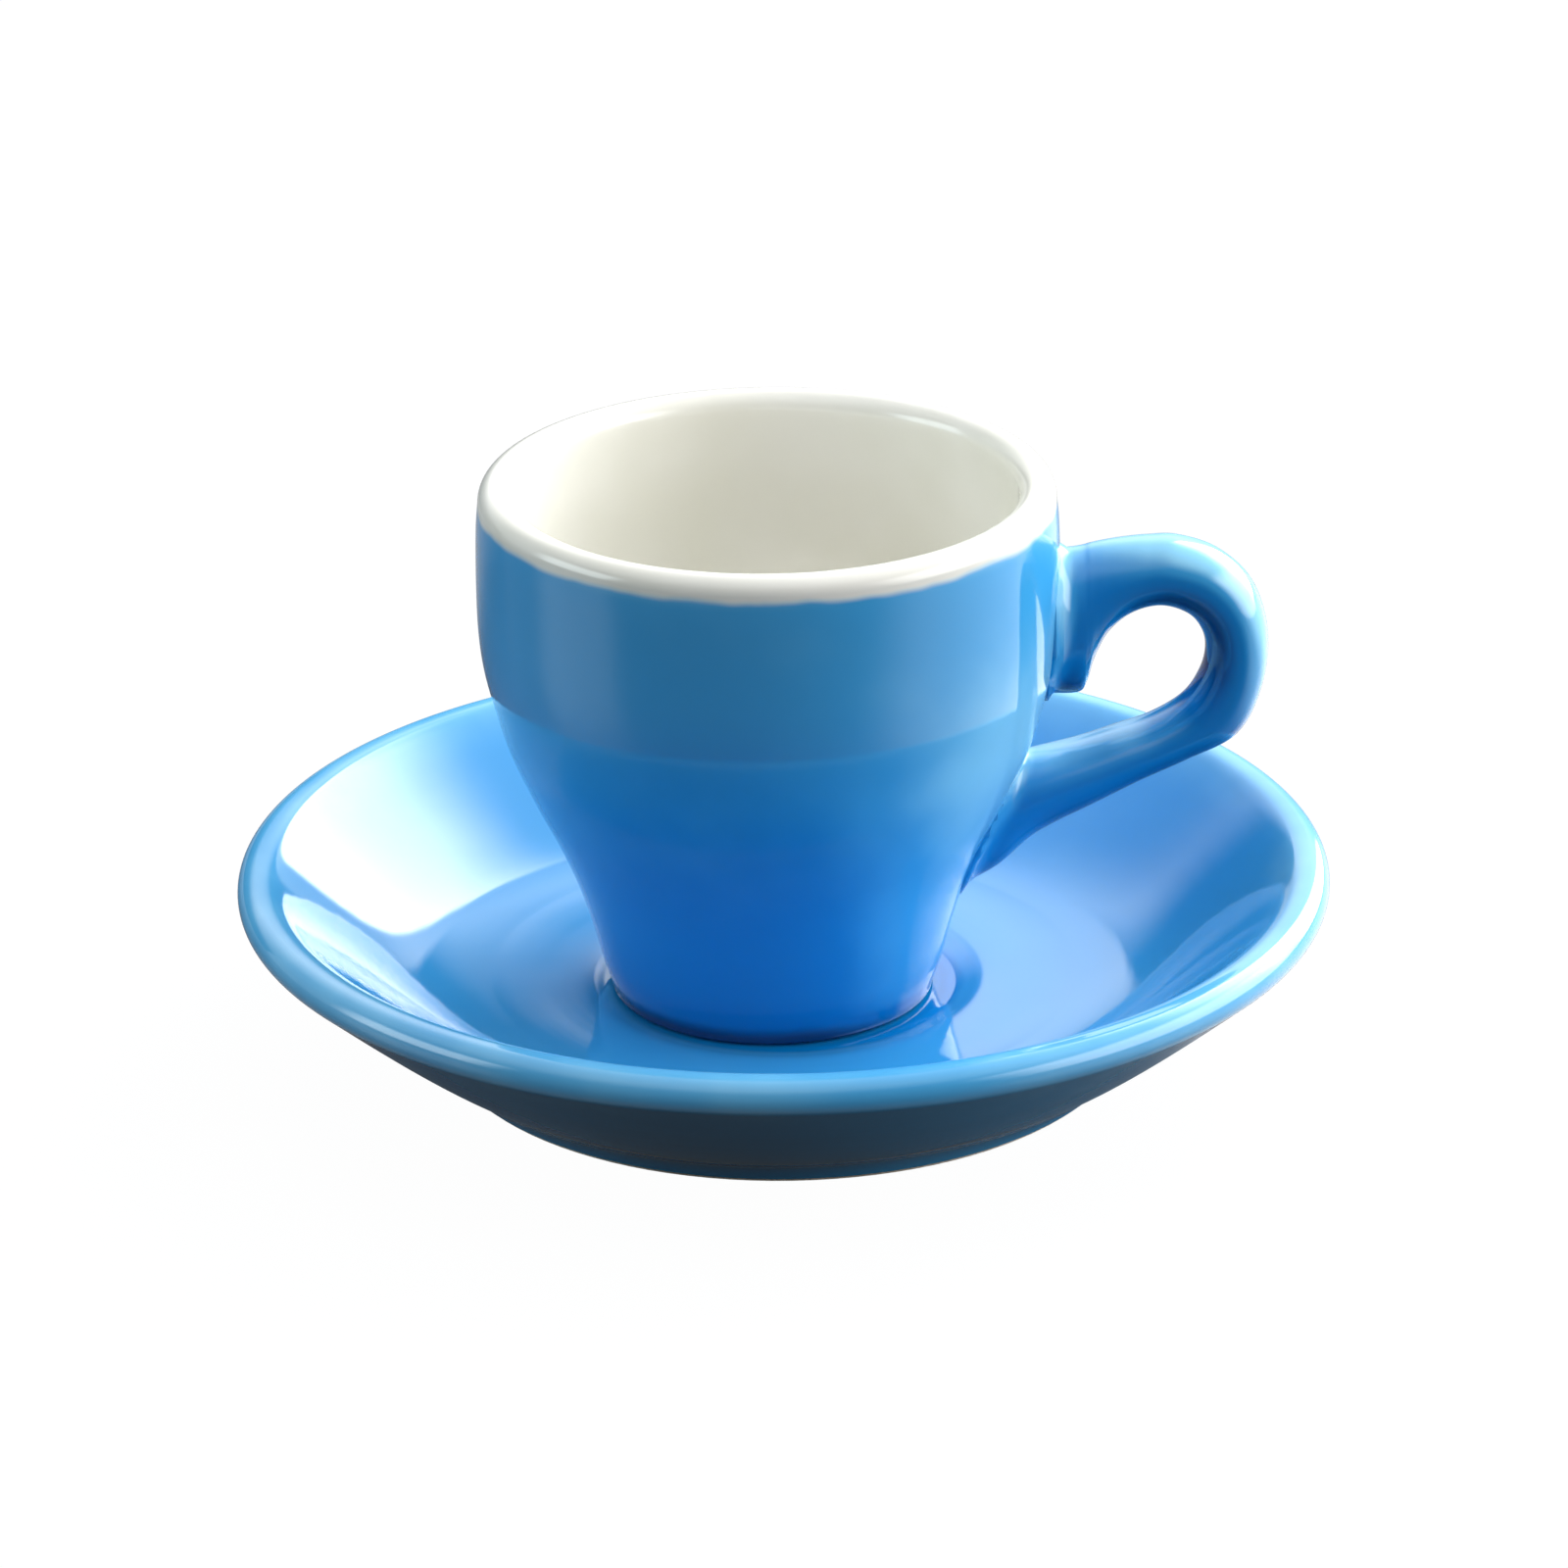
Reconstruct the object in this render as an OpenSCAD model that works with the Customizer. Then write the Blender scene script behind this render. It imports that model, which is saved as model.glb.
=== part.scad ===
// Espresso cup with its saucer, glazed porcelain.
// Lengths are in millimetres. The origin is on the table at the saucer's axis,
// +Z is up, and the cup's handle points to +X.

/* [Saucer] */
// Diameter over the saucer's lip
saucer_d = 120; // [104:1:150]
// Height of the saucer's lip above the table
saucer_h = 21.6; // [18:0.2:28]
// Thickness of the rounded lip
saucer_lip_t = 4.2; // [3:0.1:5]
// Diameter of the foot ring at the table
saucer_foot_d = 75; // [60:1:80]
// Width of the foot ring's standing face
saucer_foot_w = 2.8; // [2:0.1:4]
// Depth of the recess inside the foot ring
saucer_recess_h = 2.4; // [1.6:0.1:3]
// Diameter of the well that holds the cup
well_d = 42; // [40:0.5:48]
// Height of the well's floor above the table
well_h = 6.5; // [5.5:0.1:8]
// Depth of the step around the well
well_step = 0.7; // [0.4:0.1:1.2]

/* [Cup] */
// Height of the cup
cup_h = 59.2; // [52:0.2:70]
// Diameter of the cup's upper barrel
cup_d = 63.2; // [56:0.2:70]
// How much narrower the lip is than the barrel, at each side
lip_taper = 0.4; // [0.1:0.1:1]
// Height over which the barrel narrows, up to the white glaze
taper_h = 3; // [2:0.1:5]
// Diameter of the cup's side just above its foot
cup_foot_d = 35.2; // [32:0.2:37]
// Thickness of the cup's wall and of its round lip
cup_wall = 4; // [3:0.1:5]
// Thickness of the cup's floor, from the recess to the inside
cup_floor_t = 3.7; // [3:0.1:6]
// Width of the foot ring's standing face
cup_foot_w = 2.6; // [2:0.1:3.6]
// Depth of the recess inside the cup's foot ring
cup_recess_h = 1.8; // [1.2:0.1:2.6]
// Height of the white glaze on the side, below the lip's rounding
white_band = 0.4; // [0.2:0.1:2]
// How far the cup stands off the saucer's axis, away from the handle
cup_shift = 1.3; // [0:0.1:2]

/* [Handle] */
// How far the handle reaches out from the barrel
handle_reach = 22.9; // [18:0.5:26]
// How far the handle's top lies below the top of the cup
handle_drop = 7.3; // [6:0.1:12]
// Height of the handle's lowest point above the cup's standing face
handle_low = 12.5; // [9:0.5:16]
// Width of the handle across the loop
handle_w = 9.4; // [8:0.2:12]
// Radius of the fillet where the handle meets the cup
handle_fillet = 2.2; // [1:0.1:3]

/* [Glaze] */
// Thickness of the fired glaze
glaze_t = 0.35; // [0.2:0.05:0.5]
// Height of the bare clay at the edge of each standing face
bare_h = 0.5; // [0.3:0.1:0.8]

/* [Hidden] */

glaze_blue = [0.30, 0.58, 0.86];
glaze_white = [0.95, 0.94, 0.90];
bare_clay = [0.90, 0.88, 0.83];

saucer_r = saucer_d / 2;
saucer_foot_r = saucer_foot_d / 2;
saucer_foot_in_r = saucer_foot_r - saucer_foot_w;
well_r = well_d / 2;
cup_r = cup_d / 2;
cup_foot_r = cup_foot_d / 2;
cup_lip_r = cup_wall / 2;
cup_floor_h = cup_recess_h + cup_floor_t;
handle_top = cup_h - handle_drop;

// Straight pieces in each curved stretch of an outline, and between two traced points
curve_steps = 12;
short_steps = 6;
trace_steps = 3;

// Curves

// A point on a cubic curve with four control points
function bezier_point(p, t) =
    pow(1 - t, 3) * p[0] + 3 * t * pow(1 - t, 2) * p[1]
    + 3 * t * t * (1 - t) * p[2] + pow(t, 3) * p[3];

function bezier(p, n) = [for (i = [0:n]) bezier_point(p, i / n)];

// Points on a round stretch, from angle a to angle b
function arc(centre, r, a, b, n) =
    [for (i = [0:n]) let (t = a + (b - a) * i / n) centre + r * [cos(t), sin(t)]];

// A point between p[i] and p[i + 1] on the smooth curve through all of p
function trace_point(p, i, t) =
    let (a = p[max(i - 1, 0)], b = p[i], c = p[i + 1], d = p[min(i + 2, len(p) - 1)])
    0.5 * (2 * b + (c - a) * t + (2 * a - 5 * b + 4 * c - d) * t * t
    + (3 * b - a - 3 * c + d) * pow(t, 3));

function trace(p, n) = [
    for (i = [0:len(p) - 2], k = [0:n - 1]) trace_point(p, i, k / n),
    p[len(p) - 1]
];

// The direction to the right of the outline p at its point i
function right_of(p, i) =
    let (d = p[min(i + 1, len(p) - 1)] - p[max(i - 1, 0)])
    [d[1], -d[0]] / norm(d);

// The outline p moved by t to its right
function beside(p, t) = [for (i = [0:len(p) - 1]) p[i] + t * right_of(p, i)];

function reversed(p) = [for (i = [len(p) - 1:-1:0]) p[i]];
function without_first(p) = [for (i = [1:len(p) - 1]) p[i]];

// Glazed outlines are lists of [radius, height] that run with the clay on their right.
// The clay starts glaze_t below them, and a coat fills that space between two points.

function clay(p) = beside(p, glaze_t);
function between(p, from, to) = [for (i = [from:to]) p[i]];
function coat(p, from, to) =
    concat(between(p, from, to), reversed(between(clay(p), from, to)));
function whole_coat(p) = coat(p, 0, len(p) - 1);

// The glazed recess inside a foot ring of inner radius r and height h
function recess(r, h) = concat(
    bezier([[r - 0.25 * h, bare_h], [r - 0.35 * h, bare_h + 0.7 * (h - bare_h)],
        [r - 0.6 * h, h], [r - 1.6 * h, h]], short_steps),
    [[0, h]]
);

// Saucer

// Where the bowl starts to rise and where it meets the lip: radius and height
bowl_start_shares = [0.54, 0.353];
lip_start_shares = [0.913, 0.94];
bowl_start = [bowl_start_shares[0] * saucer_r, bowl_start_shares[1] * saucer_h];
lip_start = [lip_start_shares[0] * saucer_r, lip_start_shares[1] * saucer_h];
rise_w = lip_start[0] - bowl_start[0];
// Slope of the bowl and of the underside at the lip, in degrees
lip_slope = 41;
uphill = [1, tan(lip_slope)];

step_w = 1.4 * well_step;
shelf_h = well_h + well_step;
saucer_lip_r = saucer_lip_t / 2;
saucer_lip = [saucer_r - saucer_lip_r, saucer_h - saucer_lip_r];

function saucer_top() = concat(
    [[0, well_h]],
    bezier([[well_r - step_w, well_h], [well_r - 0.3 * step_w, well_h],
        [well_r - 0.5 * step_w, shelf_h], [well_r + 0.3 * step_w, shelf_h]], short_steps),
    bezier([bowl_start, bowl_start + rise_w * [0.41, 0.03],
        lip_start - 0.39 * rise_w * uphill, lip_start], curve_steps),
    without_first(bezier([lip_start, lip_start + 0.06 * rise_w * uphill,
        [saucer_lip[0] - 0.06 * rise_w, saucer_h], [saucer_lip[0], saucer_h]], short_steps))
);

// The underside falls from the lip to a hollow above the foot ring
foot_edge = [saucer_foot_r + 0.13 * saucer_lip_t, bare_h];
foot_hollow = [saucer_foot_r + 0.8 * saucer_lip_t, 0.15 * saucer_h];
foot_slope = [1, 0.6];
lip_under = saucer_lip + saucer_lip_r * [cos(lip_slope - 90), sin(lip_slope - 90)];

function saucer_under() = concat(
    without_first(arc(saucer_lip, saucer_lip_r, 90, lip_slope - 90, curve_steps)),
    without_first(bezier([lip_under, lip_under - 0.28 * rise_w * uphill,
        foot_hollow + 0.25 * rise_w * foot_slope, foot_hollow], curve_steps)),
    without_first(bezier([foot_hollow, foot_hollow - 0.2 * saucer_lip_t * foot_slope,
        foot_edge + 0.2 * saucer_lip_t * [0.7, 1], foot_edge], short_steps))
);

saucer_line = concat(saucer_top(), saucer_under());
saucer_recess_line = recess(saucer_foot_in_r, saucer_recess_h);

module saucer_body() {
    color(bare_clay) rotate_extrude()
        polygon(concat(clay(saucer_line), [[saucer_foot_r, 0], [saucer_foot_in_r, 0]],
            clay(saucer_recess_line)));
}

module saucer_glaze() {
    color(glaze_blue) {
        rotate_extrude() polygon(whole_coat(saucer_line));
        rotate_extrude() polygon(whole_coat(saucer_recess_line));
    }
}

// Cup, with heights above its standing face

// The side from foot to barrel: height as a share of cup_h, and radius as a share
// of the way from the foot's radius to the barrel's
side_shares = [
    [0.076, 0.096], [0.144, 0.170], [0.229, 0.284], [0.314, 0.433], [0.399, 0.606],
    [0.501, 0.791], [0.586, 0.894], [0.654, 0.961], [0.722, 0.993], [0.806, 1]
];
// The top of the side, and the edge of the white glaze on it
side_top = [cup_r - lip_taper, cup_h - cup_lip_r];
white_edge = side_top + [0.1 * lip_taper, -white_band];
cup_side_line = concat(
    trace(concat(
        [[cup_foot_r + 0.2 * bare_h, bare_h], [cup_foot_r + 0.5 * bare_h, 2.5 * bare_h]],
        [for (s = side_shares) [cup_foot_r + s[1] * (cup_r - cup_foot_r), s[0] * cup_h]],
        [[cup_r - 0.3 * lip_taper, white_edge[1] - taper_h], white_edge]
    ), trace_steps),
    [side_top]
);
cup_lip = [cup_r - lip_taper - cup_lip_r, cup_h - cup_lip_r];

// The inside keeps the wall's thickness down to the fifth traced point, then rounds
// into the flat floor
inner_first = 5 * trace_steps;
inner_wall = beside(cup_side_line, -cup_wall);
inner_start = inner_wall[inner_first];
inner_fall = (inner_start - inner_wall[inner_first + 1])
    / norm(inner_start - inner_wall[inner_first + 1]);
inner_drop = inner_start[1] - cup_floor_h;
cup_inner_line = concat(
    [[0, cup_floor_h]],
    bezier([[0.3 * inner_start[0], cup_floor_h], [0.6 * inner_start[0], cup_floor_h],
        inner_start + 0.5 * inner_drop * inner_fall, inner_start], curve_steps),
    between(inner_wall, inner_first + 1, len(inner_wall) - 2),
    arc(cup_lip, cup_lip_r, 180, 0, curve_steps)
);
// The whole glazed line goes over the lip and down to the foot, and the white glaze
// ends at the point below the lip's rounding
cup_line = concat(cup_inner_line, without_first(reversed(cup_side_line)));
white_last = len(cup_inner_line);

cup_foot_out_r = cup_foot_r - 2 * bare_h;
cup_foot_in_r = cup_foot_out_r - cup_foot_w;
cup_recess_line = recess(cup_foot_in_r, cup_recess_h);

module at_cup() {
    translate([-cup_shift, 0, well_h]) children();
}

module cup_body() {
    color(bare_clay) at_cup() rotate_extrude()
        polygon(concat(
            clay(cup_line),
            [[cup_foot_out_r, 0], [cup_foot_in_r, 0]],
            clay(cup_recess_line)
        ));
}

module cup_liner_glaze() {
    color(glaze_white) at_cup() rotate_extrude() polygon(coat(cup_line, 0, white_last));
}

module cup_outer_glaze() {
    color(glaze_blue) at_cup() {
        difference() {
            rotate_extrude() polygon(coat(cup_line, white_last, len(cup_line) - 1));
            handle_form();
        }
        rotate_extrude() polygon(whole_coat(cup_recess_line));
    }
}

// Handle, a cast loop that is joined to the clay before glazing

// Sections of the loop from its upper root to its lower one. Each has the inside
// of the loop and the outside of it, as [share of handle_reach beyond the barrel,
// share of the way from handle_low to handle_top]. The first and the last lie in
// the cup's wall.
section_shares = [
    [[-0.13, 0.556], [-0.13, 0.955]],
    [[0.075, 0.553], [0.08, 0.972]],
    [[0.125, 0.585], [0.145, 0.981]],
    [[0.155, 0.65], [0.215, 0.989]],
    [[0.22, 0.732], [0.31, 0.996]],
    [[0.33, 0.79], [0.42, 1]],
    [[0.47, 0.812], [0.56, 0.998]],
    [[0.60, 0.787], [0.75, 0.958]],
    [[0.675, 0.733], [0.91, 0.868]],
    [[0.70, 0.672], [0.985, 0.73]],
    [[0.665, 0.60], [0.965, 0.575]],
    [[0.58, 0.527], [0.855, 0.435]],
    [[0.425, 0.468], [0.62, 0.36]],
    [[0.24, 0.43], [0.40, 0.299]],
    [[0.083, 0.40], [0.175, 0.23]],
    [[-0.10, 0.375], [-0.11, 0.14]],
    [[-0.24, 0.358], [-0.31, 0.035]],
    [[-0.36, 0.345], [-0.55, -0.04]]
];
// Half the width across the loop at each section, as a share of half of handle_w
width_shares = [1.12, 1.1, 1.08, 1.05, 1.02, 1, 1, 1, 1, 1, 1, 1, 1, 1.02, 1.05, 1.09, 1.13, 1.16];

function handle_place(s) = [
    cup_r + s[0] * handle_reach,
    handle_low + s[1] * (handle_top - handle_low)
];
inside_curve = trace([for (s = section_shares) handle_place(s[0])], trace_steps);
outside_curve = trace([for (s = section_shares) handle_place(s[1])], trace_steps);
half_widths = trace([for (s = width_shares) s * handle_w / 2], trace_steps);

// Points around a section, which is an ellipse squared off a little by the power below 1
section_points = 24;
section_power = 0.94;
function squared(c) = sign(c) * pow(abs(c), section_power);

// Radius of the cup's side at height h
side_heights = [for (p = cup_side_line) [p[1], p[0]]];
function side_r(h) = lookup(h, side_heights);

// The fillet is full at the sides of the loop, and this share of it above and below
fillet_end_share = 0.45;
function fillet_at(a) =
    handle_fillet * (fillet_end_share + (1 - fillet_end_share) * pow(sin(a), 2));

// How far a fillet of radius f spreads at distance d from the cup's side
function fillet_spread(f, d) =
    let (inward = min(max(f - d, 0), f))
    f - sqrt(f * f - inward * inward);

function loop_point(i, a) =
    let (
        middle = (outside_curve[i] + inside_curve[i]) / 2,
        half = (outside_curve[i] - inside_curve[i]) / 2,
        h = norm(half),
        w = half_widths[i],
        plain = middle + squared(cos(a)) * half,
        across = squared(sin(a)) * w,
        out = [cos(a) / h, sin(a) / w] / norm([cos(a) / h, sin(a) / w]),
        spread = fillet_spread(fillet_at(a), norm([plain[0], across]) - side_r(plain[1])),
        place = plain + spread * out[0] * half / h
    )
    [place[0], across + spread * out[1], place[1]];

module handle_form() {
    n = section_points;
    rings = len(inside_curve);
    points = [for (i = [0:rings - 1], k = [0:n - 1]) loop_point(i, 360 * k / n)];
    sides = [for (i = [0:rings - 2], k = [0:n - 1])
        let (a = i * n + k, b = i * n + (k + 1) % n)
        each [[a, b, b + n], [a, b + n, a + n]]];
    first_end = [for (k = [1:n - 2]) [0, k + 1, k]];
    last = (rings - 1) * n;
    last_end = [for (k = [1:n - 2]) [last, last + k, last + k + 1]];
    polyhedron(points, concat(sides, first_end, last_end));
}

// The clay's outer side from foot to lip, which the handle is joined to
function clay_side() = reversed(clay(reversed(cup_side_line)));

module cup_handle() {
    color(glaze_blue) at_cup() difference() {
        handle_form();
        rotate_extrude() polygon(concat([[0, 0]], clay_side(), [[0, cup_h]]));
    }
}

saucer_body();
saucer_glaze();
cup_body();
cup_liner_glaze();
cup_outer_glaze();
cup_handle();
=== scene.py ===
import math

import bpy
import numpy as np
from mathutils import Matrix, Vector


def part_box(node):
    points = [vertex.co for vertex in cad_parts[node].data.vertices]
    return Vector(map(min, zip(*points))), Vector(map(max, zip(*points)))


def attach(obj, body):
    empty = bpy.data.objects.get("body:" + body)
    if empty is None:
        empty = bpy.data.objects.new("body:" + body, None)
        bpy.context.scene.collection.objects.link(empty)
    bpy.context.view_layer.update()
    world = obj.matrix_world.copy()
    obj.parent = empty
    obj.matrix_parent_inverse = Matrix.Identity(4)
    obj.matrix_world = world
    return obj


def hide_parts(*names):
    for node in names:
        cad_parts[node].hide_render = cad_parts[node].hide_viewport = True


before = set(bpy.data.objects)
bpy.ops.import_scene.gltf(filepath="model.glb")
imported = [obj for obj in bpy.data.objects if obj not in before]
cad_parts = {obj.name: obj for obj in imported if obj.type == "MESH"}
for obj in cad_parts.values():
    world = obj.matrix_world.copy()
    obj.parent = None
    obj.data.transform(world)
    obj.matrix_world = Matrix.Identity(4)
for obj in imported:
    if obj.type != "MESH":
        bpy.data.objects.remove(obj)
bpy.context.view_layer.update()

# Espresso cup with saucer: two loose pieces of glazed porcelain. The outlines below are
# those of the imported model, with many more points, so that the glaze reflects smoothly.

MM = 0.001

# Sizes taken from the imported model

saucer_low, saucer_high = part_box("saucer_glaze")
SAUCER_R = (saucer_high.x - saucer_low.x) / 2
SAUCER_H = saucer_high.z
foot_low, foot_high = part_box("cup_body")
lip_low, lip_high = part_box("cup_liner_glaze")
barrel_low, barrel_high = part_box("cup_outer_glaze")
CUP_X = (foot_low.x + foot_high.x) / 2
WELL_H = foot_low.z
CUP_R = (barrel_high.y - barrel_low.y) / 2
CUP_H = lip_high.z - WELL_H

# Sizes of the saucer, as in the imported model

SAUCER_LIP_T = 4.2 * MM
SAUCER_FOOT_R = 37.5 * MM
SAUCER_FOOT_W = 2.8 * MM
SAUCER_RECESS_H = 2.4 * MM
WELL_R = 21 * MM
WELL_STEP = 0.7 * MM
LIP_SLOPE = 41  # degrees

# Sizes of the cup and its handle, with heights above the cup's standing face

LIP_TAPER = 0.4 * MM
TAPER_H = 3 * MM
CUP_FOOT_R = 17.6 * MM
CUP_WALL = 4 * MM
CUP_FLOOR_H = 5.5 * MM
CUP_FOOT_W = 2.6 * MM
CUP_RECESS_H = 1.8 * MM
WHITE_BAND = 0.4 * MM
HANDLE_REACH = 22.9 * MM
HANDLE_TOP = CUP_H - 7.3 * MM
HANDLE_LOW = 12.5 * MM
HANDLE_W = 9.4 * MM
HANDLE_FILLET = 2.2 * MM

# Glaze

GLAZE_T = 0.35 * MM
BARE_H = 0.5 * MM

# Fineness of the meshes

SPIN_STEPS = 288
CURVE_STEPS = 48
SHORT_STEPS = 16
TRACE_STEPS = 8
SECTION_POINTS = 96
SHARP_ANGLE = math.radians(50)
ON_AXIS_R = GLAZE_T / 100


# Curves: an outline is an array of [radius, height]

def bezier(points, steps):
    """Points along a cubic curve with four control points."""
    a, b, c, d = (np.array(p, float) for p in points)
    t = np.linspace(0, 1, steps + 1)[:, None]
    return a * (1 - t) ** 3 + 3 * b * t * (1 - t) ** 2 + 3 * c * t ** 2 * (1 - t) + d * t ** 3


def arc(centre, radius, start, end, steps):
    """Points on a round stretch between two angles in degrees."""
    turn = np.radians(np.linspace(start, end, steps + 1))
    return np.array(centre) + radius * np.stack([np.cos(turn), np.sin(turn)], 1)


def trace(points, steps):
    """The smooth curve through all the points."""
    points = np.array(points, float)
    padded = np.vstack([points[:1], points, points[-1:]])
    t = (np.arange(steps) / steps)[:, None]
    pieces = []
    for a, b, c, d in zip(padded, padded[1:], padded[2:], padded[3:]):
        bend = 2 * a - 5 * b + 4 * c - d
        pieces.append(0.5 * (2 * b + (c - a) * t + bend * t ** 2 + (3 * b - a - 3 * c + d) * t ** 3))
    return np.vstack([*pieces, points[-1:]])


def beside(outline, gap):
    """The outline moved to its right by gap."""
    along = np.gradient(outline, axis=0)
    along /= np.linalg.norm(along, axis=1)[:, None]
    return outline + gap * np.stack([along[:, 1], -along[:, 0]], 1)


def joined(*outlines):
    """One outline out of several that follow each other, without doubled points."""
    return np.vstack([outlines[0]] + [o[1:] for o in outlines[1:]])


def eased(outline, spot, reach):
    """The outline with its bends averaged out around a spot, most of all right there."""
    walked = np.concatenate([[0], np.cumsum(np.linalg.norm(np.diff(outline, axis=0), axis=1))])
    centre = walked[np.argmin(np.linalg.norm(outline - spot, axis=1))]
    result = outline.copy()
    for i, place in enumerate(walked):
        half = reach * max(0, 1 - abs(place - centre) / (2 * reach))
        if half > 0:
            around = np.linspace(place - half, place + half, 2 * SHORT_STEPS + 1)
            result[i] = [np.interp(around, walked, outline[:, k]).mean() for k in (0, 1)]
    return result


# Inwards from the foot ring as a share of the hollow's height, and up its glazed side
RECESS_SHARES = [[0.25, 0], [0.35, 0.7], [0.6, 1], [1.6, 1]]


def recess(inner_r, height):
    """The glazed hollow inside a foot ring."""
    side = bezier([
        [inner_r - inset * height, BARE_H + up * (height - BARE_H)] for inset, up in RECESS_SHARES
    ], SHORT_STEPS)
    return np.vstack([side, [[0, height]]])


# Outlines of the saucer

# Where the bowl and its lip start, as shares of the saucer's radius and height
BOWL_START_SHARES = [0.54, 0.353]
LIP_START_SHARES = [0.913, 0.94]

# The well's step: its width as a share of its height, and its curve out from the well's
# edge and up, as shares of its width and height
STEP_W_SHARE = 1.4
STEP_SHARES = [[-1, 0], [-0.3, 0], [-0.5, 1], [0.3, 1]]

# How far the ends of the curves pull, as shares of the width from bowl_start to lip_start
BOWL_PULL_SHARES = np.array([0.41, 0.03])
LIP_PULL_SHARE = 0.39
CREST_PULL_SHARE = 0.06
UNDER_LIP_PULL_SHARE = 0.28
OVER_FOOT_PULL_SHARE = 0.25

# How far the bends are eased, as shares of the step's width and of the shelf's
EASED_STEP_SHARE = 2.5
EASED_SHELF_SHARE = 0.6

# The foot ring's outside: how far its edge and the hollow over it lie beyond its radius, and
# how far they pull, as shares of the lip's thickness, and the hollow's share of the height
FOOT_EDGE_SHARE = 0.13
FOOT_HOLLOW_SHARE = 0.8
FOOT_PULL_SHARE = 0.2
FOOT_HOLLOW_H_SHARE = 0.15
FOOT_SLOPE = np.array([1, 0.6])
ROOT_SLOPE = np.array([0.7, 1])

saucer_size = np.array([SAUCER_R, SAUCER_H])
bowl_start = BOWL_START_SHARES * saucer_size
lip_start = LIP_START_SHARES * saucer_size
rise_w = lip_start[0] - bowl_start[0]
uphill = np.array([1, math.tan(math.radians(LIP_SLOPE))])
step_w = STEP_W_SHARE * WELL_STEP
saucer_lip_r = SAUCER_LIP_T / 2
saucer_lip = np.array([SAUCER_R - saucer_lip_r, SAUCER_H - saucer_lip_r])
lip_crest = np.array([saucer_lip[0], SAUCER_H])


def saucer_top():
    """From the middle of the well over the step and the bowl to the top of the lip."""
    well_step = bezier([
        [WELL_R + out * step_w, WELL_H + up * WELL_STEP] for out, up in STEP_SHARES
    ], SHORT_STEPS)
    shelf = np.linspace(well_step[-1], bowl_start, CURVE_STEPS)
    bowl = bezier([
        bowl_start, bowl_start + rise_w * BOWL_PULL_SHARES,
        lip_start - LIP_PULL_SHARE * rise_w * uphill, lip_start,
    ], 2 * CURVE_STEPS)
    crest = bezier([
        lip_start, lip_start + CREST_PULL_SHARE * rise_w * uphill,
        lip_crest - [CREST_PULL_SHARE * rise_w, 0], lip_crest,
    ], SHORT_STEPS)
    middle = np.linspace([0, WELL_H], well_step[0], CURVE_STEPS)
    step_middle = well_step[SHORT_STEPS // 2]
    low = eased(joined(middle, well_step, shelf), step_middle, EASED_STEP_SHARE * step_w)
    slope = eased(joined(low, bowl), bowl_start, EASED_SHELF_SHARE * (bowl_start[0] - WELL_R))
    return joined(slope, crest)


def saucer_under():
    """From the top of the lip round it and down to the foot ring."""
    foot_edge = np.array([SAUCER_FOOT_R + FOOT_EDGE_SHARE * SAUCER_LIP_T, BARE_H])
    foot_hollow = np.array([
        SAUCER_FOOT_R + FOOT_HOLLOW_SHARE * SAUCER_LIP_T, FOOT_HOLLOW_H_SHARE * SAUCER_H,
    ])
    foot_pull = FOOT_PULL_SHARE * SAUCER_LIP_T
    lip = arc(saucer_lip, saucer_lip_r, 90, LIP_SLOPE - 90, CURVE_STEPS)
    side = bezier([
        lip[-1], lip[-1] - UNDER_LIP_PULL_SHARE * rise_w * uphill,
        foot_hollow + OVER_FOOT_PULL_SHARE * rise_w * FOOT_SLOPE, foot_hollow,
    ], CURVE_STEPS)
    root = bezier([
        foot_hollow, foot_hollow - foot_pull * FOOT_SLOPE,
        foot_edge + foot_pull * ROOT_SLOPE, foot_edge,
    ], SHORT_STEPS)
    return joined(lip, side, root)


# Outlines of the cup

# The first points over the foot, outwards and up in shares of the bare edge's height
FOOT_SHARES = [[0.2, 1], [0.5, 2.5]]

# Height as a share of the cup's, and radius as a share from the foot to the barrel
SIDE_SHARES = [
    [0.076, 0.096], [0.144, 0.170], [0.229, 0.284], [0.314, 0.433], [0.399, 0.606],
    [0.501, 0.791], [0.586, 0.894], [0.654, 0.961], [0.722, 0.993], [0.806, 1],
]

# How much the lip has tapered where the taper starts, and what is left to taper at the
# white edge, as shares of the whole
TAPER_START_SHARE = 0.3
TAPER_LEFT_SHARE = 0.1

# The floor inside: where its flat middle ends and how far that pulls, as shares of the
# radius where the wall starts, and the wall's pull as a share of the height in between
FLOOR_FLAT_SHARE = 0.3
FLOOR_PULL_SHARE = 0.6
WALL_PULL_SHARE = 0.5

# The inner wall starts at this point of the side, above the rounding of the floor
INNER_FIRST = 5 * TRACE_STEPS

cup_lip_r = CUP_WALL / 2
cup_lip = np.array([CUP_R - LIP_TAPER - cup_lip_r, CUP_H - cup_lip_r])
side_top = np.array([CUP_R - LIP_TAPER, CUP_H - cup_lip_r])
white_edge = side_top + [TAPER_LEFT_SHARE * LIP_TAPER, -WHITE_BAND]
cup_side = np.vstack([
    trace(
        [[CUP_FOOT_R + out * BARE_H, up * BARE_H] for out, up in FOOT_SHARES]
        + [[CUP_FOOT_R + r * (CUP_R - CUP_FOOT_R), h * CUP_H] for h, r in SIDE_SHARES]
        + [[CUP_R - TAPER_START_SHARE * LIP_TAPER, white_edge[1] - TAPER_H], white_edge],
        TRACE_STEPS,
    ),
    side_top,
])


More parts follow.
